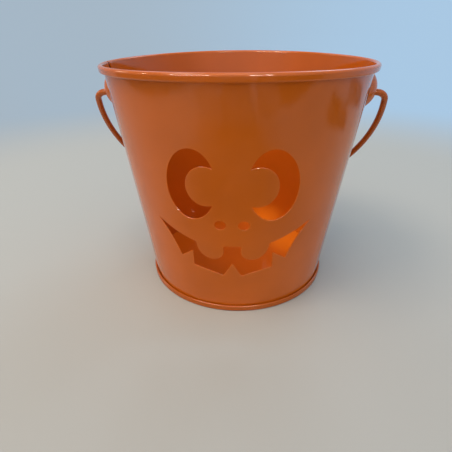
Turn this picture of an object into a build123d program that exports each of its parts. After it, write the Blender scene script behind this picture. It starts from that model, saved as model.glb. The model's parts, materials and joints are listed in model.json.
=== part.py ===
"""Pumpkin candy pail: a tapered sheet-metal pail with a punched grin and a swinging wire bail.

Millimetres. The origin is the middle of the foot, on the surface that the pail stands on.
+Z is up, the face looks along -Y and the two ears are on the X axis.
"""

import os
from math import acos, asin, atan2, cos, degrees, hypot, radians, sin, sqrt, tan

from build123d import *

os.makedirs("parts", exist_ok=True)

# Pail body
SHEET = 0.4  # sheet of the wall and the base
HEIGHT = 140.4  # foot to the top of the rolled rim
RIM_DIAMETER = 160.0  # over the rolled rim
FOOT_DIAMETER = 124.0  # over the seamed foot band
ROLL_DEPTH = 2.8  # rolled rim, from the wall's inner face outward
ROLL_HEIGHT = 3.9
ROLL_FOLD = 0.7  # slanted fold at the bottom of the roll
ROLL_LIP_GAP = 0.3  # between the lip of the roll and the wall

# Double seam between the wall and the base
FOOT_HEIGHT = 3.8  # band that shows at the foot
SEAM_GAP = 0.1  # paint film between the layers
HOOK_END_GAP = 0.5  # between the end of each hook and the fold that it points into
BASE_RECESS = 4.3  # underside of the base above the standing surface

# Side seam of the wall, folded to the inside behind the left ear
SIDE_SEAM_WIDTH = 5.5
SIDE_SEAM_RISE = 0.8
SIDE_SEAM_END_GAP = 1.0  # short of the base and of the roll

# Ears
PIVOT_DROP = 19.1  # axis of the bail below the top of the rim
EAR_SHEET = 0.8
EAR_ABOVE_PIVOT = 1.8  # middle of the dome above the axis of the bail
EAR_WIDTH = 28.0  # over the flange, which is an egg with its broad end up
EAR_TOP = 12.9  # flange above the middle of the dome
EAR_TAIL = 17.5  # flange below it
EAR_DOME_DIAMETER = 23.0  # dome at the flange
EAR_DOME_RISE = 7.25  # dome above the wall
EAR_SEAT = 0.1  # paint film between flange and wall

# Bail
WIRE_DIAMETER = 3.9
PIVOT_CLEARANCE = 0.1  # between the wire and the hole in the ear, on the radius
BAIL_RIM_CLEARANCE = 9.65  # between the rim and the bail at its widest
BAIL_DROP = 22.3  # pivot axis to the middle of the round crown
BAIL_BEND = 7.3  # bend outside each ear, to the middle of the wire
HEAD_DIAMETER = 6.4  # upset end inside the ear
HEAD_LENGTH = 1.2
HEAD_PLAY = 0.4  # between the upset end and the inside of the dome
BAIL_REST_GAP = 0.3  # between the hanging bail and the wall

# Face, in the front view: widths from the middle, heights from the foot
EYE_X = 20.9
EYE_Z = 86.6
EYE_WIDTH = 26.2
EYE_HEIGHT = 40.0
EYE_TILT = 3.0  # degrees, tops towards the middle
PUPIL_X = 13.7
PUPIL_WIDTH = 20.2
PUPIL_HEIGHT = 22.4
NOSTRIL_X = 6.35
NOSTRIL_Z = 64.3
NOSTRIL_WIDTH = 6.2
NOSTRIL_HEIGHT = 5.6
MOUTH_TIP_X = 43.2
MOUTH_TIP_Z = 61.9
UPPER_LIP_X = 20.3  # where the upper lip meets the upper tooth
UPPER_LIP_Z = 51.3
UPPER_LIP_SAG = 0.8
TOOTH_GAP = 9.7  # between the two upper teeth
TOOTH_GAP_Z = 50.2
TOOTH_SHOULDER_Z = 46.2  # where the inner side of an upper tooth starts to round
TOOTH_X = 11.2  # lowest point of an upper tooth
TOOTH_Z = 40.5
CHEEK_X = 30.1  # lowest corner of the mouth at each side
CHEEK_Z = 38.5
CHEEK_BULGE = 1.4
SIDE_TOOTH_X = 22.6  # upright side of each small lower tooth
SIDE_TOOTH_Z = 44.6
LOWER_LIP_Z = 33.7
LOWER_LIP_BULGE = 0.5
CHIN_X = 5.3  # foot of the pointed middle tooth
CHIN_Z = 28.5
CHIN_TOOTH_Z = 38.1

# Double seam: middles of its layers, one layer apart, from the foot band inward
layer = SHEET + SEAM_GAP
band_mid = FOOT_DIAMETER / 2 - SHEET / 2
wall_hook_mid = band_mid - layer
base_hook_mid = band_mid - 2 * layer
wall_foot_mid = band_mid - 3 * layer
base_upright_mid = band_mid - 4 * layer
wall_foot_z = SHEET / 2 + layer
wall_hook_end = FOOT_HEIGHT - SHEET - HOOK_END_GAP
base_hook_end = layer + SHEET + HOOK_END_GAP
band_top_mid = FOOT_HEIGHT - SHEET / 2
disc_mid = BASE_RECESS + SHEET / 2

# Wall lean: the middle of the sheet leaves the top of the seam and is tangent to the roll
roll_radius = (ROLL_DEPTH - SHEET) / 2
roll_center_x = RIM_DIAMETER / 2 - ROLL_DEPTH / 2
roll_center_z = HEIGHT - ROLL_DEPTH / 2
roll_run_x = roll_center_x - wall_foot_mid
roll_run_z = roll_center_z - FOOT_HEIGHT
lean = atan2(roll_run_x, roll_run_z) - asin(roll_radius / hypot(roll_run_x, roll_run_z))
roll_start_x = roll_center_x - roll_radius * cos(lean)
roll_start_z = roll_center_z + roll_radius * sin(lean)
roll_straight = ROLL_HEIGHT - ROLL_DEPTH / 2 - ROLL_FOLD - SHEET / 2
roll_lip = 2 * roll_radius - ROLL_FOLD - SHEET / 2 - ROLL_LIP_GAP

# Bail and its axis
wire_radius = WIRE_DIAMETER / 2
pivot_height = HEIGHT - PIVOT_DROP
bail_half_span = RIM_DIAMETER / 2 + BAIL_RIM_CLEARANCE + wire_radius
bail_reach = BAIL_DROP + bail_half_span


def wall_face(height, side):
    """Radius of the wall at a height: side is 1 for its outer face and -1 for its inner face."""
    return wall_foot_mid + (height - FOOT_HEIGHT) * tan(lean) + side * SHEET / 2 / cos(lean)


def radial_plane(angle):
    """Upright plane through the pail's axis: local X runs outward at the angle, local Y is up."""
    turn = radians(angle)
    return Plane(origin=(0, 0, 0), x_dir=(cos(turn), sin(turn), 0), z_dir=(sin(turn), -cos(turn), 0))


# Pail wall: one sheet from the hook in the foot seam to the lip of the rolled rim
with BuildPart() as pail_wall:
    with BuildSketch(Plane.XZ) as wall_section:
        with BuildLine() as wall_line:
            Polyline(
                (wall_hook_mid, wall_hook_end),
                (wall_hook_mid, wall_foot_z),
                (wall_foot_mid, wall_foot_z),
                (wall_foot_mid, FOOT_HEIGHT),
            )
            side = Line((wall_foot_mid, FOOT_HEIGHT), (roll_start_x, roll_start_z))
            roll_top = JernArc(side @ 1, side % 1, roll_radius, -180)
            down = roll_top % 1
            inward = Vector(-cos(lean), sin(lean))
            roll_bottom = (roll_top @ 1) + down * roll_straight
            fold_end = roll_bottom + (down + inward) * ROLL_FOLD
            Polyline(roll_top @ 1, roll_bottom, fold_end, fold_end + inward * roll_lip)
        trace(line_width=SHEET)
    revolve(axis=Axis.Z)

    # Side seam: a flat fold on the inside
    seam_bottom = BASE_RECESS + SHEET + SIDE_SEAM_END_GAP
    seam_top = HEIGHT - ROLL_HEIGHT - SIDE_SEAM_END_GAP
    seam_half_angle = degrees(SIDE_SEAM_WIDTH / 2 / wall_face(HEIGHT / 2, -1))
    with BuildSketch(radial_plane(180 - seam_half_angle)) as seam_section:
        Polygon(
            (wall_face(seam_bottom, -1) - SIDE_SEAM_RISE, seam_bottom),
            (wall_face(seam_bottom, 0), seam_bottom),
            (wall_face(seam_top, 0), seam_top),
            (wall_face(seam_top, -1) - SIDE_SEAM_RISE, seam_top),
            align=None,
        )
    revolve(axis=Axis.Z, revolution_arc=2 * seam_half_angle)

    # Face, punched through the front
    with BuildSketch(Plane.XZ) as face:
        with Locations((EYE_X, EYE_Z)):
            Ellipse(EYE_WIDTH / 2, EYE_HEIGHT / 2, rotation=EYE_TILT)
        with Locations((PUPIL_X, EYE_Z)):
            Ellipse(PUPIL_WIDTH / 2, PUPIL_HEIGHT / 2, mode=Mode.SUBTRACT)
        with Locations((NOSTRIL_X, NOSTRIL_Z)):
            Ellipse(NOSTRIL_WIDTH / 2, NOSTRIL_HEIGHT / 2)
        with BuildLine() as half_mouth:
            tooth_side = TOOTH_GAP / 2
            Polyline((0, TOOTH_GAP_Z), (tooth_side, TOOTH_GAP_Z), (tooth_side, TOOTH_SHOULDER_Z))
            EllipticalCenterArc((TOOTH_X, TOOTH_SHOULDER_Z), TOOTH_X - tooth_side, TOOTH_SHOULDER_Z - TOOTH_Z,
                                start_angle=180, arc_size=90)
            EllipticalCenterArc((TOOTH_X, UPPER_LIP_Z), UPPER_LIP_X - TOOTH_X, UPPER_LIP_Z - TOOTH_Z,
                                start_angle=270, arc_size=90)
            SagittaArc((UPPER_LIP_X, UPPER_LIP_Z), (MOUTH_TIP_X, MOUTH_TIP_Z), -UPPER_LIP_SAG)
            SagittaArc((MOUTH_TIP_X, MOUTH_TIP_Z), (CHEEK_X, CHEEK_Z), -CHEEK_BULGE)
            Polyline((CHEEK_X, CHEEK_Z), (SIDE_TOOTH_X, SIDE_TOOTH_Z), (SIDE_TOOTH_X, LOWER_LIP_Z))
            SagittaArc((SIDE_TOOTH_X, LOWER_LIP_Z), (CHIN_X, CHIN_Z), -LOWER_LIP_BULGE)
            Polyline((CHIN_X, CHIN_Z), (0, CHIN_TOOTH_Z), (0, TOOTH_GAP_Z))
        make_face()
        mirror(about=Plane.YZ)
    extrude(amount=RIM_DIAMETER / 2, mode=Mode.SUBTRACT)

pail_wall.part.label = "pail_wall"
export_step(pail_wall.part, "parts/pail_wall.step")

# Base: a recessed disc whose edge runs under the wall, up its outside and down into the wall's hook
with BuildPart() as base_pan:
    with BuildSketch(Plane.XZ) as base_section:
        with BuildLine() as base_line:
            Polyline(
                (0, disc_mid),
                (base_upright_mid, disc_mid),
                (base_upright_mid, SHEET / 2),
                (band_mid, SHEET / 2),
                (band_mid, band_top_mid),
                (base_hook_mid, band_top_mid),
                (base_hook_mid, base_hook_end),
            )
        trace(line_width=SHEET)
    revolve(axis=Axis.Z)

base_pan.part.label = "base_pan"
export_step(base_pan.part, "parts/base_pan.step")

# Ears: a domed stamping whose flange follows the wall
ear_axis = Vector(cos(lean), 0, -sin(lean))
ear_height = pivot_height + EAR_ABOVE_PIVOT
ear_foot = Vector(wall_face(ear_height, 1), 0, ear_height)
dome_radius = ((EAR_DOME_DIAMETER / 2) ** 2 + EAR_DOME_RISE**2) / (2 * EAR_DOME_RISE)
dome_center = ear_foot + ear_axis * (EAR_DOME_RISE - dome_radius)
ear_plane = Plane(origin=ear_foot, x_dir=(0, 1, 0), z_dir=ear_axis)


def wall_blank(standoff):
    """Section of a solid cone that stands off the wall's outer face by the given distance, for the ears."""
    low = ear_height - EAR_WIDTH
    high = ear_height + EAR_WIDTH
    side_step = standoff / cos(lean)
    return [(0, low), (wall_face(low, 1) + side_step, low), (wall_face(high, 1) + side_step, high), (0, high)]


with BuildPart() as ear_right:
    with BuildSketch(ear_plane):
        with BuildLine():
            EllipticalCenterArc((0, 0), EAR_WIDTH / 2, EAR_TOP, start_angle=0, arc_size=180)
            EllipticalCenterArc((0, 0), EAR_WIDTH / 2, EAR_TAIL, start_angle=180, arc_size=180)
        make_face()
    extrude(amount=EAR_DOME_RISE, both=True)
    with BuildSketch(Plane.XZ):
        Polygon(*wall_blank(EAR_SEAT + EAR_SHEET), align=None)
    revolve(axis=Axis.Z, mode=Mode.INTERSECT)
    with Locations(dome_center):
        Sphere(dome_radius)
        Sphere(dome_radius - EAR_SHEET, mode=Mode.SUBTRACT)
    with BuildSketch(Plane.XZ):
        Polygon(*wall_blank(EAR_SEAT), align=None)
    revolve(axis=Axis.Z, mode=Mode.SUBTRACT)
    with BuildSketch(Plane.YZ):
        with Locations((0, pivot_height)):
            Circle(wire_radius + PIVOT_CLEARANCE)
    extrude(amount=bail_half_span, mode=Mode.SUBTRACT)

with BuildPart() as ear_left:
    mirror(ear_right.part, about=Plane.YZ)

for ear, ear_name in ((ear_right, "ear_right"), (ear_left, "ear_left")):
    ear.part.label = ear_name
    export_step(ear.part, f"parts/{ear_name}.step")

# Bail: hanging behind the pail, its crown just clear of the wall
crown_stop = wall_face(pivot_height, 1) + (wire_radius + BAIL_REST_GAP) / cos(lean)
hang = lean + acos(crown_stop * cos(lean) / bail_reach)
bail_plane = Plane(origin=(0, 0, pivot_height), x_dir=(1, 0, 0), z_dir=(0, sin(hang), cos(hang)))
head_drop = HEAD_DIAMETER / 2 + dome_center.Z - pivot_height
head_outer = dome_center.X + sqrt((dome_radius - EAR_SHEET) ** 2 - head_drop**2) - HEAD_PLAY
head_middle = head_outer - HEAD_LENGTH / 2
bend_start = sqrt((bail_half_span - BAIL_BEND) ** 2 - (BAIL_DROP - BAIL_BEND) ** 2)
crown_start = degrees(atan2(BAIL_BEND - BAIL_DROP, bend_start))

with BuildPart() as bail:
    with BuildLine(bail_plane) as bail_line:
        Line((head_middle, 0), (bend_start, 0))
        CenterArc((bend_start, BAIL_BEND), BAIL_BEND, 270, 90 + crown_start)
        CenterArc((0, BAIL_DROP), bail_half_span, crown_start, 90 - crown_start)
        mirror(about=Plane.YZ)
    bail_path = bail_line.wire()
    with BuildSketch(Plane(origin=bail_path @ 0, z_dir=bail_path % 0)):
        Circle(wire_radius)
    sweep(path=bail_path)
    with Locations((head_middle, 0, pivot_height), (-head_middle, 0, pivot_height)):
        Cylinder(HEAD_DIAMETER / 2, HEAD_LENGTH, rotation=(0, 90, 0))

bail.part.label = "bail"
export_step(bail.part, "parts/bail.step")

print(f"lean {degrees(lean):.3f} deg, pivot height {pivot_height:.2f}, bail hangs {degrees(hang):.3f} deg below level")
print(f"bail swing {180 + 2 * degrees(hang):.3f} deg, half span {bail_half_span:.2f}, reach {bail_reach:.2f}")
print(f"standing ring {base_upright_mid - SHEET / 2:.2f} to {FOOT_DIAMETER / 2:.2f} from the axis")
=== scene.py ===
"""Looks of the pumpkin candy pail: enamelled sheet metal and wire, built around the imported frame.

Lengths are in millimetres here and become metres when a mesh is made.
Angles round the pail start at the face, at -Y, and grow towards +X.
"""

import json
from math import asin, atan2, ceil, cos, degrees, hypot, pi, radians, sin, sqrt, tan

import bpy
import numpy as np
from mathutils import Matrix, Vector
from mathutils.geometry import delaunay_2d_cdt


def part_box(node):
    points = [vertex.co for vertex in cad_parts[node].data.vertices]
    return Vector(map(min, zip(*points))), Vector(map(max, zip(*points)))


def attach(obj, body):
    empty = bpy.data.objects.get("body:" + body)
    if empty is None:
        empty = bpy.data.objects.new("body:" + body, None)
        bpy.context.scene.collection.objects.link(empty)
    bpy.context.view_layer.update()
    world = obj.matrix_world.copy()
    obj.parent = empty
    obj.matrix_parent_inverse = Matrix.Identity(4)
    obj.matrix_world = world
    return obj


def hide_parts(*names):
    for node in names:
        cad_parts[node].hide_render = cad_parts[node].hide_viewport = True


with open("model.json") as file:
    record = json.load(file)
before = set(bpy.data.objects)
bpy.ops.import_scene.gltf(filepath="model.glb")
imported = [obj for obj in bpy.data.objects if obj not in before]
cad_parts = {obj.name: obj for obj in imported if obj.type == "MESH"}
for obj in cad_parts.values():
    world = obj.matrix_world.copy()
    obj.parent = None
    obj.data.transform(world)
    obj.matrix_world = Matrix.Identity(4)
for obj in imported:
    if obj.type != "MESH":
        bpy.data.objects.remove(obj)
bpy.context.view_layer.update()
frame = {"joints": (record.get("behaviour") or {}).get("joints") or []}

MM = 0.001

# Sizes taken from the frame
rim_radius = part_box("pail_wall")[1].x / MM
rim_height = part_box("pail_wall")[1].z / MM
foot_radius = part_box("base_pan")[1].x / MM
base_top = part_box("base_pan")[1].z / MM
bail_low, bail_high = (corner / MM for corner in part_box("bail"))
swing = frame["joints"][0]
pivot_height = swing["pos_m"][2] / MM
hang = radians(swing["range_deg"][1] - 180) / 2

# Wall
SHEET = 0.4
ROLL_DEPTH = 2.8
ROLL_HEIGHT = 3.9
CURL_RADIUS = 0.75  # where the roll turns back to the wall
CURL_TURN = 125
FOOT_HEIGHT = 3.8
SEAM_LAYER = 0.5  # one sheet and one paint film of the foot seam
WALL_START = 3.3  # lower edge of the wall, hidden in the foot seam
EDGE_ROUND = 0.25  # rounded edge of the punched face
EDGE_BEAD = 0.06  # paint build-up along it
EDGE_FADE = 0.9  # width over which the build-up fades
EDGE_WEAR = 0.4  # least wear of the paint there
RIM_DIP = 1.1  # how far the thin rim is drawn down at the ears

# Side seam, inside the wall behind the left ear
SIDE_SEAM_WIDTH = 5.5
SIDE_SEAM_RISE = 0.8
SIDE_SEAM_ROUND = 0.35

# Gap beside it, where the ends of the rolled rim meet
GAP_COLUMN = 194  # column of points in its middle
GAP_HALF = 1.6  # half its width
GAP_DEPTH = 0.7  # how far the middle of the sheet is drawn in
GAP_START = 135.5  # height where it starts
GAP_FADE = 3.0  # height over which its painted shade darkens, on the outside
GAP_CROWD = 9  # columns to each side that crowd together there
GAP_CLOSEST = 0.18  # their spacing in the middle, as a share of the others'
SEAM_SHADE_START = 95.0  # height where the painted shade of the dark line below the gap starts, on the inside

# Base
BASE_CORNER = 1.0
BAND_CORNER = 0.75
BAND_FOLD = 0.5
BAND_HOOK = 1.2

# Ears
EAR_SHEET = 0.8
EAR_SEAT = 0.1
EAR_ABOVE_PIVOT = 1.8  # middle of the dome above the axis of the bail
EAR_HALF_WIDTH = 14.0  # flange, an egg with its broad end up
EAR_TOP = 12.0
EAR_TAIL = 17.5
EAR_DOME_RADIUS = 11.5
EAR_DOME_RISE = 7.25
EAR_BLEND = 1.4  # fillet between dome and flange
EAR_HOLE_RADIUS = 2.15
EAR_HOLE_WEAR = 0.8  # wear of the paint at the hole
EAR_EDGE_SHADE = 0.9  # how dark the painted shade is on the edge of the flange, where it meets the wall

# Bail
WIRE_RADIUS = 1.95
BAIL_BEND = 7.3
HEAD_RADIUS = 3.2
HEAD_LENGTH = 1.2
HEAD_ROUND = 0.25
HEAD_OUTER = 80.23  # outer face of the upset end, from the middle of the pail

# Face, in the front view: widths from the middle, heights from the foot
EYE = (20.9, 86.6)
EYE_HALF = (13.1, 20.0)
EYE_TILT = 3.0
PUPIL = (13.7, 86.6)
PUPIL_HALF = (10.1, 11.2)
NOSTRIL = (6.35, 64.3)
NOSTRIL_HALF = (3.1, 2.8)
MOUTH_TIP = (43.2, 61.9)
UPPER_LIP = (20.3, 51.3)
UPPER_LIP_SAG = 0.8
TOOTH_GAP_HALF = 4.85
TOOTH_GAP_Z = 50.2
TOOTH_SHOULDER_Z = 46.2
TOOTH = (11.2, 40.5)
CHEEK = (30.1, 38.5)
CHEEK_BULGE = 1.4
SIDE_TOOTH = (22.6, 44.6)
LOWER_LIP_Z = 33.7
LOWER_LIP_BULGE = 0.5
CHIN = (5.3, 28.5)
CHIN_TOOTH_Z = 38.1
CORNER_SOFTNESS = 0.3  # how far the punch rounds its corners

# Mesh fineness
COLUMNS = 256
RUN_STEP = 4.0
BEND_STEP = 10  # degrees
OVAL_POINTS = 1440
CURVE_POINTS = 60
OUTLINE_STEP = 0.6
OUTLINE_FINE = 0.1
EDGE_STEPS = 6
EDGE_CLEAR = 1.6 * EDGE_FADE  # the wall's own points keep this far from the punched edges
EDGE_ALONE = 0.9 * (EDGE_ROUND + EDGE_FADE)  # and so do those where the build-up ends
PANEL_HALF_COLUMNS = 32
PANEL_LOW, PANEL_HIGH = 22.0, 114.0
SAME_SPOT = 1e-6
EAR_COLUMNS = 72
EAR_ROWS = 28
EAR_NUDGE = 0.01  # step that the slopes of an ear are measured with
WIRE_SIDES = 28
CROWN_STEP = 2  # degrees

# Camera, from the photograph: lengths to the middle of the foot, turns in degrees
CAMERA_DISTANCE = 236.8
CAMERA_HEIGHT = 156.7
CAMERA_ROUND = 2.23
CAMERA_PAN = -1.97
CAMERA_DOWN = 28.7
CAMERA_ROLL = -0.61
CAMERA_LENS = 29.03

# Enamel: colours, tones as shares of them, and noises as (patches per metre, detail)
ORANGE = (0.55, 0.112, 0.006)
# the wire's orange: the wall's made darker by a fifth, as painted shade on the thin wire
BAIL_SHADED_ORANGE = (0.44, 0.09, 0.005)
DEEP_TONE, BRIGHT_TONE = 0.93, 1.05
COLOUR_NOISE = (30, 3)
THIN_TONE = 1.25  # on worn edges
WEAR_NOISE = (500, 2)
WEAR_SHARE = (0.2, 0.7)
PAINTED_SHADE_TONE = 0.08  # painted shade: in the gap of the rim, in the line below it and on the edges of the ears' flanges
FOOT_SHADE_TONE = 0.78  # painted shade on the foot band, near the floor
GLOSS = 0.42
SMUDGE_NOISE = (110, 4)
ROUGHNESS = (0.035, 0.08)
WAVE_NOISE = (45, 1)  # of the pressed sheet
WAVE_STRENGTH, WAVE_HEIGHT = 0.15, 0.4
PEEL_NOISE = (1300, 1)  # orange peel of the paint
PEEL_STRENGTH, PEEL_HEIGHT = 0.05, 0.1
NOISE_ENDS = (0.3, 0.7)  # values of a noise that are stretched to its full range

# Floor and room
FLOOR = (0.43, 0.42, 0.388)
FLOOR_ROUGHNESS = 0.7
FLOOR_HALF = 8000
FLOOR_ENDS = (330, 700)  # where the floor fades into the room, from the middle of the pail
ROOM_FRONT = (0.4, 0.41, 0.41)
ROOM_LEFT = (0.38, 0.475, 0.565)  # behind the pail, to the left
ROOM_RIGHT = (0.4, 0.58, 0.77)
ROOM_SIDE_FADE = (-0.4, 0.4)  # from left to right, along X
ROOM_BACK = (0.35, 0.94, 0)  # the way to the back of the room
ROOM_BACK_FADE = (-0.3, 0.6)

# Light: glows of the room as (round, up, core, edge, colour), and lamps as
# (name, round, up, width, height, watts, colour)
GLOWS = [
    (0, 35, 10, 70, (0.54, 0.53, 0.52)),
    (-60, 30, 10, 55, (0.06, 0.06, 0.05)),
]
LAMPS = [
    ("key", -60, 60, 500, 500, 7, (1, 0.85, 0.68)),
    ("top", 0, 75, 500, 500, 3.7, (1, 0.88, 0.76)),
    ("back_left", -150, 45, 500, 500, 1.6, (0.68, 0.82, 0.95)),
    ("back_right", 150, 45, 500, 500, 3.3, (0.55, 0.78, 1)),
    ("side_left", -100, 22, 300, 300, 1.4, (1, 0.8, 0.6)),
    ("window_left", -34, 28, 700, 60, 13, (1, 0.93, 0.82)),
    ("window_right", 20, 28, 420, 60, 11, (1, 0.93, 0.82)),
    ("spark_left", -78, 30, 60, 60, 2.5, (1, 0.93, 0.82)),
    ("spark_right", -50, 25, 60, 60, 2.5, (1, 0.93, 0.82)),
]
GLINTS = ("window_left", "window_right", "spark_left", "spark_right")  # lamps that only show in the gloss
LAMP_DISTANCE = 1400

# Beams that fall through the opening onto the base and the foot of the wall: (x, y, z, radius, watts)
BEAMS = [
    (44, 21, 4, 22, 44),
    (10, 60, 3, 3.5, 26),
    (18, 58, 3, 4, 42),
    (26, 55.5, 3.5, 4, 38),
    (33, 51.5, 3.5, 3.5, 26),
]
BEAM_FROM = (-40, 55)  # round, up
BEAM_COLOUR = (0.82, 1, 0.9)
BEAM_SOURCE = 2  # radius
BEAM_BLEND = 1.0  # soft from its middle to its edge

# Dark cards on the floor round the pail, which only the gloss of the enamel shows, as painted shade on the
# floor and darker surroundings in its reflections:
# (middle x, middle y, half width, half depth, turn, soft edge, least and most darkness)
CARDS = [
    (12, -350, 88, 100, 0, 10, 0.85, 1.0),
    (0, -215, 210, 190, 0, 130, 0.65, 0.85),
    (-130, -390, 90, 90, 0, 30, 0.4, 0.9),
    (-477, -219, 420, 110, -49, 14, 0.35, 1.0),
    (330, -340, 240, 100, 13, 8, 0.75, 1.0),
    (395, 0, 90, 120, 0, 40, 0.6, 1.0),
    (510, 195, 120, 160, 10, 60, 0.4, 1.0),
]
SHADE = (9, -262, 160, 60, 0, 40, 0.95, 1.0, 180, 90)  # upright behind the camera: also its height and tilt
CARD_COLOUR = (0.02, 0.018, 0.016)
CARD_LIFT = 0.5
CARD_NOISE = (18, 3)
CARD_EDGE_NOISE = (22, 3)
CARD_RAGGED = 22  # how far the edges wander

# Sockets of a colour mix
MIX_SHARE, MIX_FIRST, MIX_SECOND, MIX_RESULT = 0, 6, 7, 2

# Worked out from the above
foot_mid = foot_radius - SHEET / 2 - 3 * SEAM_LAYER
roll_radius = (ROLL_DEPTH - SHEET) / 2
roll_x = rim_radius - ROLL_DEPTH / 2
roll_z = rim_height - ROLL_DEPTH / 2
lean = atan2(roll_x - foot_mid, roll_z - FOOT_HEIGHT)
lean -= asin(roll_radius / hypot(roll_x - foot_mid, roll_z - FOOT_HEIGHT))


def wall_mid(z):
    """Radius of the middle of the wall's sheet at a height."""
    return foot_mid + (z - FOOT_HEIGHT) * tan(lean)


panel_radius = wall_mid((PANEL_LOW + PANEL_HIGH) / 2)
ear_middle = pivot_height + EAR_ABOVE_PIVOT


class Shell:
    """One closed skin: points with outward normals, how worn or how shaded the paint is at each, and faces.

    Values from 0 to 1 thin the paint where it is worn, and values from 0 to -1 darken it as painted shade.
    """

    def __init__(self):
        self.points = []
        self.normals = []
        self.wear_and_shade = []
        self.faces = []

    def add(self, point, normal, wear_and_shade=0.0):
        self.points.append(Vector(point))
        self.normals.append(Vector(normal).normalized())
        self.wear_and_shade.append(wear_and_shade)
        return len(self.points) - 1

    def strip(self, row, next_row, skip=None):
        """Faces between two closed rows of points. A row of one point closes the skin as a fan."""
        count = max(len(row), len(next_row))
        for i in range(count):
            if skip and skip(i):
                continue
            j = (i + 1) % count
            corners = [row[i % len(row)], row[j % len(row)]]
            corners += [next_row[j % len(next_row)], next_row[i % len(next_row)]]
            self.faces.append(tuple(dict.fromkeys(corners)))

    def strips(self, rows, skip=None):
        for row, next_row in zip(rows, rows[1:]):
            self.strip(row, next_row, skip)

    def make(self, name, material, body, node, mirrored=False):
        """Mesh piece that stands for a node, from the points in use. Its faces agree with the normals."""
        flip = Vector((-1, 1, 1)) if mirrored else Vector((1, 1, 1))
        used = sorted({i for face in self.faces for i in face})
        place = {i: n for n, i in enumerate(used)}
        points = [self.points[i] * flip for i in used]
        normals = [self.normals[i] * flip for i in used]
        wear_and_shade = [self.wear_and_shade[i] for i in used]
        faces = []
        for face in ([place[i] for i in face] for face in self.faces):
            spokes = [points[i] - points[face[0]] for i in face[1:]]
            across = sum((a.cross(b) for a, b in zip(spokes, spokes[1:])), Vector())
            outward = sum((normals[i] for i in face), Vector())
            faces.append(face if across.dot(outward) > 0 else face[::-1])
        mesh = bpy.data.meshes.new(name)
        mesh.from_pydata([point * MM for point in points], [], faces)
        mesh.shade_smooth()
        mesh.normals_split_custom_set_from_vertices(normals)
        mesh.attributes.new("wear_and_shade", "FLOAT", "POINT").data.foreach_set("value", wear_and_shade)
        mesh.materials.append(material)
        piece = bpy.data.objects.new(name, mesh)
        bpy.context.scene.collection.objects.link(piece)
        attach(piece, body)
        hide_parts(node)


def trail(start, heading, moves):
    """Points (x, y, heading) along straight runs and bends.

    A move is (length, 0) for a run, or (radius, turn) for a bend of that many degrees, left positive.
    """
    x, y = start
    points = [(x, y, heading)]
    for size, turn in moves:
        if turn == 0:
            steps = max(1, ceil(size / RUN_STEP))
            for i in range(1, steps + 1):
                way = size * i / steps
                points.append((x + way * cos(heading), y + way * sin(heading), heading))
        else:
            side = size if turn > 0 else -size
            center_x, center_y = x - side * sin(heading), y + side * cos(heading)
            steps = max(2, ceil(abs(turn) / BEND_STEP))
            for i in range(1, steps + 1):
                now = heading + radians(turn) * i / steps
                points.append((center_x + side * sin(now), center_y - side * cos(now), now))
        x, y, heading = points[-1]
    return points


def sheet_side(line, thickness, side):
    """Left (1) or right (-1) side of a sheet along a line, as (x, y, normal x, normal y)."""
    half = side * thickness / 2
    return [(x - sin(h) * half, y + cos(h) * half, -sin(h) * side, cos(h) * side) for x, y, h in line]


def sheet_end(point, thickness, steps=4):
    """Rounded end of a sheet, from its left to its right side, as (x, y, normal x, normal y)."""
    x, y, heading = point
    end = []
    for i in range(1, steps):
        turn = heading + pi / 2 - pi * i / steps
        end.append((x + cos(turn) * thickness / 2, y + sin(turn) * thickness / 2, cos(turn), sin(turn)))
    return end


def column_angle(column):
    """Angle of a column of points round the pail. Columns crowd together at the gap of the rim."""
    way = (column - GAP_COLUMN) / GAP_CROWD
    if abs(way) < 1:
        column = GAP_COLUMN + GAP_CROWD * way * (GAP_CLOSEST + (1 - GAP_CLOSEST) * way**2)
    return 2 * pi * column / COLUMNS


def lathe_row(shell, entry):
    """Ring of points round the pail's axis, or a single point on the axis."""
    radius, height, normal_out, normal_up = entry
    if radius < OUTLINE_FINE:
        return [shell.add((0, 0, height), (0, 0, normal_up))]
    row = []
    for i in range(COLUMNS):
        angle = column_angle(i)
        x, y = sin(angle), -cos(angle)
        row.append(shell.add((x * radius, y * radius, height), (x * normal_out, y * normal_out, normal_up)))
    return row


def wall_point(angle, z, depth):
    """Point at a depth outside the middle of the wall's sheet."""
    radius = wall_mid(z) + depth * cos(lean)
    return Vector((radius * sin(angle), -radius * cos(angle), z - depth * sin(lean)))


def wall_axes(angle):
    """Unit vectors on the wall: round it, up it and out of it."""
    around = Vector((cos(angle), sin(angle), 0))
    upward = Vector((sin(angle) * sin(lean), -cos(angle) * sin(lean), cos(lean)))
    outward = Vector((sin(angle) * cos(lean), -cos(angle) * cos(lean), -sin(lean)))
    return around, upward, outward


def oval(center, half, tilt=0.0, start=0.0, sweep=360.0, count=OVAL_POINTS):
    """Points along an oval or a part of one, counterclockwise."""
    angle = np.radians(start + sweep * np.arange(count) / count)
    x, z = half[0] * np.cos(angle), half[1] * np.sin(angle)
    turn = radians(tilt)
    tilted_x, tilted_z = x * cos(turn) - z * sin(turn), x * sin(turn) + z * cos(turn)
    return np.stack([center[0] + tilted_x, center[1] + tilted_z], 1)


def inside_oval(points, center, half, tilt=0.0):
    """Which points lie inside an oval."""
    turn = radians(tilt)
    x, z = points[:, 0] - center[0], points[:, 1] - center[1]
    across, up = x * cos(turn) + z * sin(turn), z * cos(turn) - x * sin(turn)
    return (across / half[0]) ** 2 + (up / half[1]) ** 2 < 1


def kept_run(points, keep):
    """The one unbroken run of a closed loop that is kept."""
    first = np.flatnonzero(keep & ~np.roll(keep, 1))[0]
    return np.roll(points, -first, 0)[: keep.sum()]


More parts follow.
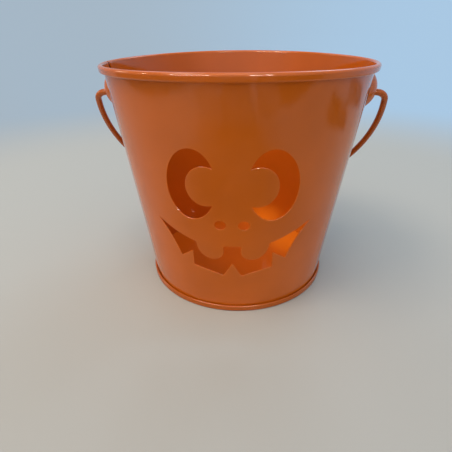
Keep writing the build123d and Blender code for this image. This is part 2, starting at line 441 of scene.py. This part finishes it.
def eye_outline():
    """Tall oval less the round pupil that stands into it from the nose."""
    white = oval(EYE, EYE_HALF, EYE_TILT)
    pupil = oval(PUPIL, PUPIL_HALF)
    outer = kept_run(white, ~inside_oval(white, PUPIL, PUPIL_HALF))
    inner = kept_run(pupil, inside_oval(pupil, EYE, EYE_HALF, EYE_TILT))
    return np.concatenate([outer, inner[::-1]])


def bow(start, end, rise):
    """Shallow curve from start to end that rises to the left of its way."""
    start, end = np.array(start), np.array(end)
    share = np.linspace(0, 1, CURVE_POINTS, endpoint=False)[:, None]
    chord = end - start
    left = np.array([-chord[1], chord[0]]) / np.hypot(*chord)
    return start + chord * share + left * rise * 4 * share * (1 - share)


def mouth_outline():
    """Grin with two rounded upper teeth, a pointed chin tooth and a small tooth at each cheek."""
    shoulder = (TOOTH[0], TOOTH_SHOULDER_Z)
    shoulder_half = (TOOTH[0] - TOOTH_GAP_HALF, TOOTH_SHOULDER_Z - TOOTH[1])
    lip = (TOOTH[0], UPPER_LIP[1])
    lip_half = (UPPER_LIP[0] - TOOTH[0], UPPER_LIP[1] - TOOTH[1])
    half = np.concatenate([
        [(0, TOOTH_GAP_Z), (TOOTH_GAP_HALF, TOOTH_GAP_Z)],
        oval(shoulder, shoulder_half, start=180, sweep=90, count=CURVE_POINTS),
        oval(lip, lip_half, start=270, sweep=90, count=CURVE_POINTS),
        bow(UPPER_LIP, MOUTH_TIP, -UPPER_LIP_SAG),
        bow(MOUTH_TIP, CHEEK, -CHEEK_BULGE),
        [CHEEK, SIDE_TOOTH],
        bow((SIDE_TOOTH[0], LOWER_LIP_Z), CHIN, -LOWER_LIP_BULGE),
        [CHIN, (0, CHIN_TOOTH_Z)],
    ])
    other_half = half[::-1] * (-1, 1)
    return np.concatenate([half, other_half[1:-1]])


def walk(outline, step):
    """Evenly spaced points along a closed outline."""
    closed = np.concatenate([outline, outline[:1]])
    length = np.concatenate([[0], np.cumsum(np.hypot(*np.diff(closed, axis=0).T))])
    at = np.linspace(0, length[-1], ceil(length[-1] / step), endpoint=False)
    return np.stack([np.interp(at, length, closed[:, 0]), np.interp(at, length, closed[:, 1])], 1)


def soften(outline):
    """The outline with its corners rounded, as evenly spaced points."""
    fine = walk(outline, OUTLINE_FINE)
    reach = ceil(3 * CORNER_SOFTNESS / OUTLINE_FINE)  # three times the spread of the bell curve
    steps = range(-reach, reach + 1)
    weights = [np.exp(-((i * OUTLINE_FINE / CORNER_SOFTNESS) ** 2) / 2) for i in steps]
    smooth = sum(np.roll(fine, i, 0) * weight for i, weight in zip(steps, weights)) / sum(weights)
    return walk(smooth, OUTLINE_STEP)


def face_outlines():
    """Outlines of the punched holes on the unrolled wall, counterclockwise: (way round, height)."""
    eye, nostril = eye_outline(), oval(NOSTRIL, NOSTRIL_HALF)
    outlines = []
    for outline in (eye, eye * (-1, 1), nostril, nostril * (-1, 1), mouth_outline()):
        x, z = soften(outline).T
        unrolled = np.stack([panel_radius * np.arcsin(x / wall_mid(z)), z], 1)
        turned = np.sum(x * np.roll(z, -1) - np.roll(x, -1) * z)
        outlines.append(unrolled if turned > 0 else unrolled[::-1])
    return outlines


def inside(points, outline):
    """Which points lie inside a closed outline."""
    hits = np.zeros(len(points), bool)
    for (ax, ay), (bx, by) in zip(outline, np.roll(outline, -1, 0)):
        if ay == by:
            continue
        crosses = (ay > points[:, 1]) != (by > points[:, 1])
        hits ^= crosses & (points[:, 0] < ax + (points[:, 1] - ay) * (bx - ax) / (by - ay))
    return hits


def nearest(points, outline):
    """Distance from each point to the nearest point of an outline."""
    return np.sqrt(((points[:, None] - outline[None]) ** 2).sum(2)).min(1)


def punched_edge(shell, outline, into_sheet):
    """Rounded edge of a hole, from the outside of the sheet to its inside, as rings of points."""
    rings = []
    for step in range(EDGE_STEPS + 1):
        turn = pi * step / EDGE_STEPS
        depth = (SHEET / 2 + EDGE_BEAD) * cos(turn)
        inset = EDGE_ROUND * (1 - sin(turn))
        wear_and_shade = max(EDGE_WEAR, sin(turn))
        ring = []
        for (way, z), (sheet_x, sheet_z) in zip(outline, into_sheet):
            angle = (way + sheet_x * inset) / panel_radius
            around, upward, outward = wall_axes(angle)
            normal = outward * cos(turn) - (around * sheet_x + upward * sheet_z) * sin(turn)
            ring.append(shell.add(wall_point(angle, z + sheet_z * inset, depth), normal, wear_and_shade))
        rings.append(ring)
    shell.strips(rings)
    return rings


def punch_face(shell, rows, heights):
    """Fills the panel between the wall's rows of points, round the holes, on both sides of the sheet."""
    outlines = face_outlines()
    every_outline = np.concatenate(outlines)
    columns = range(-PANEL_HALF_COLUMNS, PANEL_HALF_COLUMNS + 1)
    ends = (0, len(heights) - 1)
    grid = [(k, i) for k in range(len(heights)) for i in columns]
    spots = np.array([(panel_radius * 2 * pi * i / COLUMNS, heights[k]) for k, i in grid])
    border = np.array([k in ends or abs(i) == PANEL_HALF_COLUMNS for k, i in grid])
    in_holes = np.any([inside(spots, outline) for outline in outlines], 0)
    clear = ~in_holes & (nearest(spots, every_outline) > EDGE_CLEAR)
    kept = [grid[n] for n in np.flatnonzero(border | clear)]
    order = {place: n for n, place in enumerate(kept)}
    coords = [tuple(spots[n]) for n in np.flatnonzero(border | clear)]
    numbers = {side: [rows[side][k][i] for k, i in kept] for side in (1, -1)}
    edges = [(order[k, i], order[k, i + 1]) for k in ends for i in columns[:-1]]
    edges += [(order[k, i], order[k + 1, i]) for k in range(ends[1]) for i in (columns[0], columns[-1])]

    holes = []
    for outline in outlines:
        ahead = np.roll(outline, -1, 0) - np.roll(outline, 1, 0)
        into_sheet = np.stack([ahead[:, 1], -ahead[:, 0]], 1) / np.hypot(*ahead.T)[:, None]
        rings = punched_edge(shell, outline, into_sheet)
        lip = outline + into_sheet * EDGE_ROUND
        first = len(coords)
        coords += [tuple(point) for point in lip]
        edges += [(first + i, first + (i + 1) % len(lip)) for i in range(len(lip))]
        numbers[1] += rings[0]
        numbers[-1] += rings[-1]
        holes.append(lip)
        faded = (outline + into_sheet * (EDGE_ROUND + EDGE_FADE))[::2]
        for way, z in faded[nearest(faded, every_outline) > EDGE_ALONE]:
            outward = wall_axes(way / panel_radius)[2]
            coords.append((way, z))
            for side in (1, -1):
                point = wall_point(way / panel_radius, z, side * SHEET / 2)
                numbers[side].append(shell.add(point, outward * side))

    made, _, triangles, origin, _, _ = delaunay_2d_cdt([Vector(c) for c in coords], edges, [], 0, SAME_SPOT)
    centers = np.array([np.mean([made[i] for i in triangle], 0) for triangle in triangles])
    solid = ~np.any([inside(centers, hole) for hole in holes], 0)
    for n in np.flatnonzero(solid):
        for side in (1, -1):
            shell.faces.append(tuple(numbers[side][origin[i][0]] for i in triangles[n]))


def add_side_seam(shell):
    """Folded seam on the inside of the wall, behind the left ear: a flat strip with rounded edges."""
    half, flank = SIDE_SEAM_WIDTH / 2, SHEET / 2 + SIDE_SEAM_RISE - SIDE_SEAM_ROUND
    corner, top = (SIDE_SEAM_ROUND, 90), (2 * (half - SIDE_SEAM_ROUND), 0)
    section = trail((half, -SHEET / 2), pi / 2, [(flank, 0), corner, top, corner, (flank, 0)])
    section += [(side * (half - OUTLINE_FINE), -SHEET / 2 - OUTLINE_FINE, 0) for side in (-1, 1)]
    ends = (base_top + SIDE_SEAM_ROUND, roll_z)

    def seam_row(z, end=0):
        """Section at a height. An end's row, just beyond, has the normals of its flat face."""
        row = []
        for across, height, heading in section:
            angle = -pi / 2 + across / wall_mid(z)
            around, upward, outward = wall_axes(angle)
            normal = upward * end if end else around * sin(heading) + outward * cos(heading)
            row.append(shell.add(wall_point(angle, z + end * OUTLINE_FINE, -SHEET / 2 - height), normal))
        return row

    rows = [seam_row(ends[0], -1), seam_row(ends[0]), seam_row(ends[1]), seam_row(ends[1], 1)]
    shell.strips(rows)
    shell.faces += [tuple(rows[0]), tuple(rows[-1])]


def pinch_rim(shell):
    """Draws the rolled rim in at the gap where its ends meet, and paints shade into the gap and the line below
    it.
    """
    middle = column_angle(GAP_COLUMN) - 2 * pi
    for i, point in enumerate(shell.points):
        angle, radius = atan2(point.x, -point.y), hypot(point.x, point.y)
        off = (angle - middle) * radius / GAP_HALF
        if abs(off) >= 1:
            continue
        normal = shell.normals[i]
        outward, around = Vector((sin(angle), -cos(angle), 0)), Vector((cos(angle), sin(angle), 0))
        if normal.dot(outward) < 0:
            shade = (point.z - SEAM_SHADE_START) / (GAP_START - SEAM_SHADE_START)
        else:
            shade = (point.z - GAP_START) / GAP_FADE
        shell.wear_and_shade[i] = -(1 - off**2) * min(1, max(0, shade))
        rise = min(1, max(0, point.z - GAP_START) / (roll_z - GAP_START))
        depth = GAP_DEPTH * rise * (1 - off**2) ** 2
        slope = -4 * depth * off / GAP_HALF / (1 - off**2)
        away = (outward * (radius - roll_x) + Vector((0, 0, max(0, point.z - roll_z)))) / roll_radius
        shell.normals[i] = (normal + around * slope * normal.dot(away)).normalized()
        point -= away * depth


def dip_rim(shell):
    """Draws the wall down towards the ears, along its slope."""
    for point in shell.points:
        dip = RIM_DIP * point.z / rim_height * point.x**2 / (point.x**2 + point.y**2)
        slide = 1 - dip * tan(lean) / hypot(point.x, point.y)
        point[:] = point.x * slide, point.y * slide, point.z - dip


def make_wall(material):
    """Tapered wall with its rolled rim, its punched face and its side seam."""
    shell = Shell()
    run = (roll_z + roll_radius * sin(lean) - WALL_START) / cos(lean)
    drop = ROLL_HEIGHT - ROLL_DEPTH / 2 - CURL_RADIUS - SHEET / 2
    moves = [(run, 0), (roll_radius, -180), (drop, 0), (CURL_RADIUS, -CURL_TURN)]
    line = trail((wall_mid(WALL_START), WALL_START), pi / 2 - lean, moves)
    rows = {side: [lathe_row(shell, entry) for entry in sheet_side(line, SHEET, -side)] for side in (1, -1)}
    panel = [k for k in range(ceil(run / RUN_STEP)) if PANEL_LOW < line[k][1] < PANEL_HIGH]

    def in_panel(column):
        return column < PANEL_HALF_COLUMNS or column >= COLUMNS - PANEL_HALF_COLUMNS

    for side in (1, -1):
        shell.strips(rows[side][: panel[0] + 1])
        shell.strips(rows[side][panel[0] : panel[-1] + 1], skip=in_panel)
        shell.strips(rows[side][panel[-1] :])
    lip = [lathe_row(shell, entry) for entry in sheet_end(line[-1], SHEET)]
    shell.strips([rows[-1][-1], *lip, rows[1][-1]])
    x, z, heading = line[0]
    foot = [lathe_row(shell, entry) for entry in sheet_end((x, z, heading + pi), SHEET)]
    shell.strips([rows[1][0], *foot, rows[-1][0]])
    panel_rows = {side: [rows[side][k] for k in panel] for side in (1, -1)}
    punch_face(shell, panel_rows, [line[k][1] for k in panel])
    pinch_rim(shell)
    add_side_seam(shell)
    dip_rim(shell)
    shell.make("pail_skin", material, "pail", "pail_wall")


def make_base(material):
    """Recessed base, its edge folded round the foot of the wall as the band that the pail stands on."""
    shell = Shell()
    upright = foot_mid - SEAM_LAYER
    band = foot_radius - SHEET / 2
    middle, low, high = base_top - SHEET / 2, SHEET / 2, FOOT_HEIGHT - SHEET / 2
    line = trail((0, middle), 0, [
        (upright - BASE_CORNER, 0),
        (BASE_CORNER, -90),
        (middle - BASE_CORNER - low - BAND_FOLD, 0),
        (BAND_FOLD, 90),
        (band - upright - BAND_FOLD - BAND_CORNER, 0),
        (BAND_CORNER, 90),
        (high - BAND_FOLD - low - BAND_CORNER, 0),
        (BAND_FOLD, 180),
        (BAND_HOOK, 0),
    ])
    section = sheet_side(line, SHEET, 1) + sheet_end(line[-1], SHEET) + sheet_side(line, SHEET, -1)[::-1]
    shell.strips([lathe_row(shell, entry) for entry in section])
    shell.make("base_skin", material, "pail", "base_pan")


def ear_height(across, up):
    """Height of an ear's outer face above the wall at its middle: a dome that runs into a curved flange."""
    bend = (wall_mid(ear_middle) + SHEET / 2) / cos(lean)
    flange = sqrt(bend**2 - across**2) - bend + EAR_SEAT + EAR_SHEET
    ball = (EAR_DOME_RADIUS**2 + EAR_DOME_RISE**2) / (2 * EAR_DOME_RISE)
    square = ball**2 - across**2 - up**2
    dome = EAR_DOME_RISE - ball + sqrt(square) if square > 0 else flange - EAR_BLEND
    mix = max(EAR_BLEND - abs(dome - flange), 0) / EAR_BLEND
    return max(dome, flange) + mix**2 * EAR_BLEND / 4


def ear_slopes(across, up):
    """Slopes of an ear's outer face, across it and up it."""
    step = EAR_NUDGE
    return (
        (ear_height(across + step, up) - ear_height(across - step, up)) / (2 * step),
        (ear_height(across, up + step) - ear_height(across, up - step)) / (2 * step),
    )


def make_ears(material):
    """Domed ears under the rim, each with the hole that its end of the bail turns in."""
    shell = Shell()
    around, upward, outward = wall_axes(pi / 2)
    foot = Vector((wall_mid(ear_middle) + SHEET / 2 / cos(lean), 0, ear_middle))
    hole_up = EAR_DOME_RISE * tan(lean) - EAR_ABOVE_PIVOT / cos(lean)
    edge_half = EAR_SHEET / 2
    turns = [2 * pi * i / EAR_COLUMNS for i in range(EAR_COLUMNS)]
    rows = {1: [], -1: []}
    for share in (k / EAR_ROWS for k in range(EAR_ROWS + 1)):
        hole = EAR_HOLE_RADIUS * (1 - share)
        for side in (1, -1):
            row = []
            for turn in turns:
                end = EAR_TOP if turn < pi else EAR_TAIL
                across = (hole + (EAR_HALF_WIDTH - edge_half) * share) * cos(turn)
                up = (hole + (end - edge_half) * share) * sin(turn) + hole_up * (1 - share)
                slope_across, slope_up = ear_slopes(across, up)
                normal = (outward - around * slope_across - upward * slope_up).normalized()
                point = foot + around * across + upward * up + outward * ear_height(across, up)
                row.append(shell.add(point - normal * edge_half * (1 - side), normal * side))
            rows[side].append(row)
    shell.strips(rows[1])
    shell.strips(rows[-1])
    # the hole's edge has worn paint; the flange's edge gets painted shade where it meets the wall
    hole_edge, flange_edge = (0, -1, EDGE_BEAD, EAR_HOLE_WEAR), (-1, 1, edge_half, -EAR_EDGE_SHADE)
    for edge, toward, reach, wear_and_shade in (hole_edge, flange_edge):
        rings = [rows[1][edge]]
        for tip in (radians(45), radians(90), radians(135)):
            ring = []
            for outer, inner, turn in zip(rows[1][edge], rows[-1][edge], turns):
                middle = (shell.points[outer] + shell.points[inner]) / 2
                outside = shell.normals[outer] * cos(tip)
                aside = (around * cos(turn) + upward * sin(turn)) * toward * sin(tip)
                ring.append(shell.add(middle + outside * edge_half + aside * reach, outside + aside, wear_and_shade))
            rings.append(ring)
        shell.strips([*rings, rows[-1][edge]])
    shell.make("ear_right_skin", material, "pail", "ear_right")
    shell.make("ear_left_skin", material, "pail", "ear_left", mirrored=True)


def make_bail(material):
    """Wire bail with its upset ends, hanging behind the pail."""
    shell = Shell()
    span = bail_high.x - WIRE_RADIUS
    middle = (pivot_height - WIRE_RADIUS - bail_low.z) / sin(hang) - span
    bend_start = sqrt((span - BAIL_BEND) ** 2 - (middle - BAIL_BEND) ** 2)
    crown_start = round(degrees(atan2(BAIL_BEND - middle, bend_start)))
    down = Vector((0, cos(hang), -sin(hang)))
    out_of_plane = Vector((0, sin(hang), cos(hang)))
    pivot = Vector((0, 0, pivot_height))

    def ring(x, drop, heading, radius, tip=0.0):
        """Circle of points round the wire. The tip turns their normals along the wire, in degrees."""
        ahead = Vector((cos(heading), 0, 0)) + down * sin(heading)
        aside = Vector((-sin(heading), 0, 0)) + down * cos(heading)
        row = []
        for i in range(WIRE_SIDES):
            turn = 2 * pi * i / WIRE_SIDES
            radial = aside * cos(turn) + out_of_plane * sin(turn)
            point = pivot + Vector((x, 0, 0)) + down * drop + radial * radius
            row.append(shell.add(point, radial * cos(radians(tip)) + ahead * sin(radians(tip))))
        return row

    head_inner = HEAD_OUTER - HEAD_LENGTH
    head = [  # (x, radius, tip)
        (head_inner, HEAD_RADIUS - HEAD_ROUND, -80),
        (head_inner + HEAD_ROUND, HEAD_RADIUS, -10),
        (HEAD_OUTER - HEAD_ROUND, HEAD_RADIUS, 10),
        (HEAD_OUTER, HEAD_RADIUS - HEAD_ROUND, 80),
    ]
    half = trail((HEAD_OUTER, 0), 0, [(bend_start - HEAD_OUTER, 0), (BAIL_BEND, 90 + crown_start)])
    turns = [radians(turn) for turn in range(crown_start + CROWN_STEP, 180 - crown_start, CROWN_STEP)]
    crown = [(span * cos(turn), middle + span * sin(turn), pi / 2 + turn) for turn in turns]
    other_half = [(-x, drop, 2 * pi - heading) for x, drop, heading in half[::-1]]
    rows = [[shell.add(pivot + Vector((head_inner, 0, 0)), (-1, 0, 0))]]
    rows += [ring(x, 0, 0, radius, tip) for x, radius, tip in head]
    rows += [ring(x, drop, heading, WIRE_RADIUS) for x, drop, heading in half + crown + other_half]
    rows += [ring(-x, 0, 0, radius, -tip) for x, radius, tip in head[::-1]]
    rows += [[shell.add(pivot - Vector((head_inner, 0, 0)), (1, 0, 0))]]
    shell.strips(rows)
    shell.make("bail_wire", material, "bail", "bail")


def add_node(tree, kind, inputs=None, **settings):
    """New node with its settings. An input is a plain value or the output that feeds it."""
    made = tree.nodes.new(kind)
    for name, value in settings.items():
        setattr(made, name, value)
    for name, value in (inputs or {}).items():
        if isinstance(value, bpy.types.NodeSocket):
            tree.links.new(value, made.inputs[name])
        else:
            made.inputs[name].default_value = value
    return made


def maths(tree, operation, first, second, **settings):
    """Result of an operation on two inputs, each a number or an output."""
    inputs = {0: first, 1: second}
    return add_node(tree, "ShaderNodeMath", inputs, operation=operation, **settings).outputs[0]


def mix_colours(tree, share, first, second):
    """Colour between two, each of them an output or (red, green, blue)."""
    inputs = {MIX_SHARE: share}
    for socket, colour in ((MIX_FIRST, first), (MIX_SECOND, second)):
        inputs[socket] = (*colour, 1) if isinstance(colour, tuple) else colour
    return add_node(tree, "ShaderNodeMix", inputs, data_type="RGBA").outputs[MIX_RESULT]


def noise(tree, place, pattern, ends=(0, 1)):
    """Cloudy pattern of (patches per metre, detail) that runs between two values."""
    cloud = add_node(tree, "ShaderNodeTexNoise", {"Vector": place, "Scale": pattern[0], "Detail": pattern[1]})
    spread = {"Value": cloud.outputs["Fac"], "From Min": NOISE_ENDS[0], "From Max": NOISE_ENDS[1]}
    spread |= {"To Min": ends[0], "To Max": ends[1]}
    return add_node(tree, "ShaderNodeMapRange", spread).outputs["Result"]


def fade(tree, value, low, high):
    """Soft step of a value from 0, at low, to 1, at high."""
    span = {"Value": value, "From Min": low, "From Max": high}
    return add_node(tree, "ShaderNodeMapRange", span, interpolation_type="SMOOTHSTEP").outputs["Result"]


def along(tree, way, axis):
    """How far a direction points along an axis."""
    return add_node(tree, "ShaderNodeVectorMath", {0: way, 1: axis}, operation="DOT_PRODUCT").outputs["Value"]


def new_material(name):
    """Material with its node tree and its shader."""
    material = bpy.data.materials.new(name)
    material.use_nodes = True
    return material, material.node_tree, material.node_tree.nodes["Principled BSDF"]


def enamel(name, colour, shaded_below=0.0):
    """Glossy baked enamel: a faintly uneven colour, orange peel, wiped smudges, thin paint on the edges and
    painted shade in gaps.

    Below a height the paint is darkened, as painted shade on the foot band near the floor.
    """
    material, tree, shader = new_material(name)
    place = add_node(tree, "ShaderNodeTexCoord").outputs["Object"]

    def toned(tone):
        return tuple(channel * tone for channel in colour)

    paint = mix_colours(tree, noise(tree, place, COLOUR_NOISE), toned(DEEP_TONE), toned(BRIGHT_TONE))
    wear_and_shade = add_node(tree, "ShaderNodeAttribute", attribute_name="wear_and_shade").outputs["Fac"]
    worn = maths(tree, "MULTIPLY", wear_and_shade, noise(tree, place, WEAR_NOISE, WEAR_SHARE))
    paint = mix_colours(tree, worn, paint, toned(THIN_TONE))
    # painted shade: negative values darken the gap of the rim, the line below it and the flange edges of the
    # ears
    painted_shade = maths(tree, "MULTIPLY", wear_and_shade, -1.0, use_clamp=True)
    paint = mix_colours(tree, painted_shade, paint, toned(PAINTED_SHADE_TONE))
    # painted shade: darker paint on the foot band
    if shaded_below:
        height = add_node(tree, "ShaderNodeSeparateXYZ", {0: place}).outputs["Z"]
        low = maths(tree, "LESS_THAN", height, shaded_below * MM)
        paint = mix_colours(tree, low, paint, toned(FOOT_SHADE_TONE))
    tree.links.new(paint, shader.inputs["Base Color"])
    tree.links.new(noise(tree, place, SMUDGE_NOISE, ROUGHNESS), shader.inputs["Roughness"])
    shader.inputs["Specular IOR Level"].default_value = GLOSS

    waves = add_node(tree, "ShaderNodeBump", {
        "Strength": WAVE_STRENGTH,
        "Distance": WAVE_HEIGHT * MM,
        "Height": noise(tree, place, WAVE_NOISE),
    })
    peel = add_node(tree, "ShaderNodeBump", {
        "Strength": PEEL_STRENGTH,
        "Distance": PEEL_HEIGHT * MM,
        "Height": noise(tree, place, PEEL_NOISE),
        "Normal": waves.outputs["Normal"],
    })
    tree.links.new(peel.outputs["Normal"], shader.inputs["Normal"])
    return material


def room_colour(tree, way):
    """Colour of the room in a direction: cool behind the pail, bluer to the right, and neutral in front."""
    right = fade(tree, along(tree, way, (1, 0, 0)), *ROOM_SIDE_FADE)
    back = fade(tree, along(tree, way, ROOM_BACK), *ROOM_BACK_FADE)
    return mix_colours(tree, back, ROOM_FRONT, mix_colours(tree, right, ROOM_LEFT, ROOM_RIGHT))


def flat_sheet(name, half_width, half_depth, material):
    """Rectangle of the stage, flat on the floor at the middle of the pail."""
    mesh = bpy.data.meshes.new(name)
    corners = [(-1, -1), (1, -1), (1, 1), (-1, 1)]
    points = [(x * half_width * MM, y * half_depth * MM, 0) for x, y in corners]
    mesh.from_pydata(points, [], [(0, 1, 2, 3)])
    mesh.materials.append(material)
    made = bpy.data.objects.new(name, mesh)
    bpy.context.scene.collection.objects.link(made)
    return made


def make_floor():
    """Plain pale floor that fades into the room. The room's share of it gives no light of its own."""
    material, tree, shader = new_material("floor_paint")
    shader.inputs["Base Color"].default_value = (*FLOOR, 1)
    shader.inputs["Roughness"].default_value = FLOOR_ROUGHNESS
    place = add_node(tree, "ShaderNodeNewGeometry").outputs["Position"]
    distance = add_node(tree, "ShaderNodeVectorMath", {0: place}, operation="LENGTH").outputs["Value"]
    way = add_node(tree, "ShaderNodeVectorMath", {0: place}, operation="NORMALIZE").outputs["Vector"]
    path = add_node(tree, "ShaderNodeLightPath")
    seen = path.outputs["Is Camera Ray"]
    for kind in ("Is Glossy Ray", "Is Transmission Ray"):
        seen = maths(tree, "MAXIMUM", seen, path.outputs[kind])
    share = maths(tree, "MULTIPLY", seen, fade(tree, distance, *(end * MM for end in FLOOR_ENDS)))
    glow = add_node(tree, "ShaderNodeEmission", {"Color": room_colour(tree, way)})
    mix = add_node(tree, "ShaderNodeMixShader", {0: share, 1: shader.outputs[0], 2: glow.outputs[0]})
    tree.links.new(mix.outputs[0], tree.nodes["Material Output"].inputs["Surface"])
    floor = flat_sheet("floor", FLOOR_HALF, FLOOR_HALF, material)


def direction(turn, up):
    """Unit vector towards a place round and above the pail, in degrees."""
    turn, up = radians(turn), radians(up)
    return Vector((sin(turn) * cos(up), -cos(turn) * cos(up), sin(up)))


def make_world(glows):
    """The room's own light, with a soft glow for each (round, up, core, edge, colour), turns in degrees.

    The glows stand for large lamps, which the camera doesn't see.
    """
    world = bpy.data.worlds.new("room")
    bpy.context.scene.world = world
    world.use_nodes = True
    tree = world.node_tree
    way = add_node(tree, "ShaderNodeTexCoord").outputs["Generated"]
    seen = add_node(tree, "ShaderNodeLightPath").outputs["Is Camera Ray"]
    unseen = maths(tree, "SUBTRACT", 1.0, seen)
    total = room_colour(tree, way)
    for turn, up, core, edge, colour in glows:
        share = fade(tree, along(tree, way, direction(turn, up)), cos(radians(edge)), cos(radians(core)))
        inputs = {0: maths(tree, "MULTIPLY", share, unseen), 1: colour, 2: total}
        total = add_node(tree, "ShaderNodeVectorMath", inputs, operation="MULTIPLY_ADD").outputs["Vector"]
    tree.links.new(total, tree.nodes["Background"].inputs["Color"])


def dark_card(x, y, half_width, half_depth, turn, soft, least, most, height=CARD_LIFT, tilt=0):
    """Card with soft and blotchy edges. A flat one shows in the gloss alone, as painted shade in the
    reflections; an upright one shades the pail.
    """
    material, tree, shader = new_material("card")
    place = add_node(tree, "ShaderNodeTexCoord").outputs["Object"]
    off_middle = add_node(tree, "ShaderNodeVectorMath", {0: place}, operation="ABSOLUTE").outputs["Vector"]
    apart = add_node(tree, "ShaderNodeSeparateXYZ", {0: off_middle})
    share = noise(tree, place, CARD_NOISE, (least, most))
    ragged = noise(tree, place, CARD_EDGE_NOISE, (0, CARD_RAGGED * MM))
    for axis, half in ((0, half_width), (1, half_depth)):
        reach = maths(tree, "ADD", apart.outputs[axis], ragged)
        share = maths(tree, "MULTIPLY", share, fade(tree, reach, half * MM, (half - soft) * MM))
    dark = add_node(tree, "ShaderNodeEmission", {"Color": (*CARD_COLOUR, 1)})
    clear = add_node(tree, "ShaderNodeBsdfTransparent")
    mix = add_node(tree, "ShaderNodeMixShader", {0: share, 1: clear.outputs[0], 2: dark.outputs[0]})
    tree.links.new(mix.outputs[0], tree.nodes["Material Output"].inputs["Surface"])
    tree.nodes.remove(shader)
    card = flat_sheet("card", half_width, half_depth, material)
    card.location = (x * MM, y * MM, height * MM)
    card.rotation_euler = (radians(tilt), 0, radians(turn))
    card.visible_camera = card.visible_shadow = False
    card.visible_diffuse = tilt > 0
    card.visible_glossy = tilt == 0


def place_lamp(data, turn, up, target):
    """Puts a lamp in its direction, in degrees, and turns it towards a target."""
    lamp = bpy.data.objects.new(data.name, data)
    way = direction(turn, up)
    lamp.location = (way * LAMP_DISTANCE + Vector(target)) * MM
    lamp.rotation_euler = way.to_track_quat("Z", "Y").to_euler()
    lamp.visible_diffuse = data.name not in GLINTS
    bpy.context.scene.collection.objects.link(lamp)


def soft_lamp(name, turn, up, width, height, watts, colour):
    """Area lamp that shines at the pail from a direction, turns in degrees."""
    data = bpy.data.lights.new(name, "AREA")
    data.shape = "RECTANGLE"
    data.size = width * MM
    data.size_y = height * MM
    data.energy = watts
    data.color = colour
    place_lamp(data, turn, up, (0, 0, rim_height / 2))


def inner_beam(x, y, z, radius, watts):
    """Narrow beam that lights a patch of the inside, seen through the face."""
    data = bpy.data.lights.new("beam", "SPOT")
    data.spot_size = 2 * atan2(radius, LAMP_DISTANCE)
    data.spot_blend = BEAM_BLEND
    data.shadow_soft_size = BEAM_SOURCE * MM
    data.energy = watts
    data.color = BEAM_COLOUR
    place_lamp(data, *BEAM_FROM, (x, y, z))


def make_camera():
    """Camera at the photograph's place, looking down at the face."""
    data = bpy.data.cameras.new("camera")
    data.lens = CAMERA_LENS
    camera = bpy.data.objects.new("camera", data)
    side = radians(CAMERA_ROUND)
    place = Vector((CAMERA_DISTANCE * sin(side), -CAMERA_DISTANCE * cos(side), CAMERA_HEIGHT))
    turn = Matrix.Rotation(radians(CAMERA_ROUND - CAMERA_PAN), 4, "Z")
    tilt = Matrix.Rotation(radians(90 - CAMERA_DOWN), 4, "X")
    roll = Matrix.Rotation(radians(CAMERA_ROLL), 4, "Z")
    camera.matrix_world = Matrix.Translation(place * MM) @ turn @ tilt @ roll
    bpy.context.scene.collection.objects.link(camera)
    bpy.context.scene.camera = camera


make_wall(enamel("wall_paint", ORANGE))
make_base(enamel("base_paint", ORANGE, FOOT_HEIGHT))
make_ears(enamel("ear_paint", ORANGE))
make_bail(enamel("bail_paint", BAIL_SHADED_ORANGE))
make_floor()
for card in (*CARDS, SHADE):
    dark_card(*card)
make_world(GLOWS)
for lamp in LAMPS:
    soft_lamp(*lamp)
for beam in BEAMS:
    inner_beam(*beam)
make_camera()
bpy.context.scene.view_settings.view_transform = "Standard"
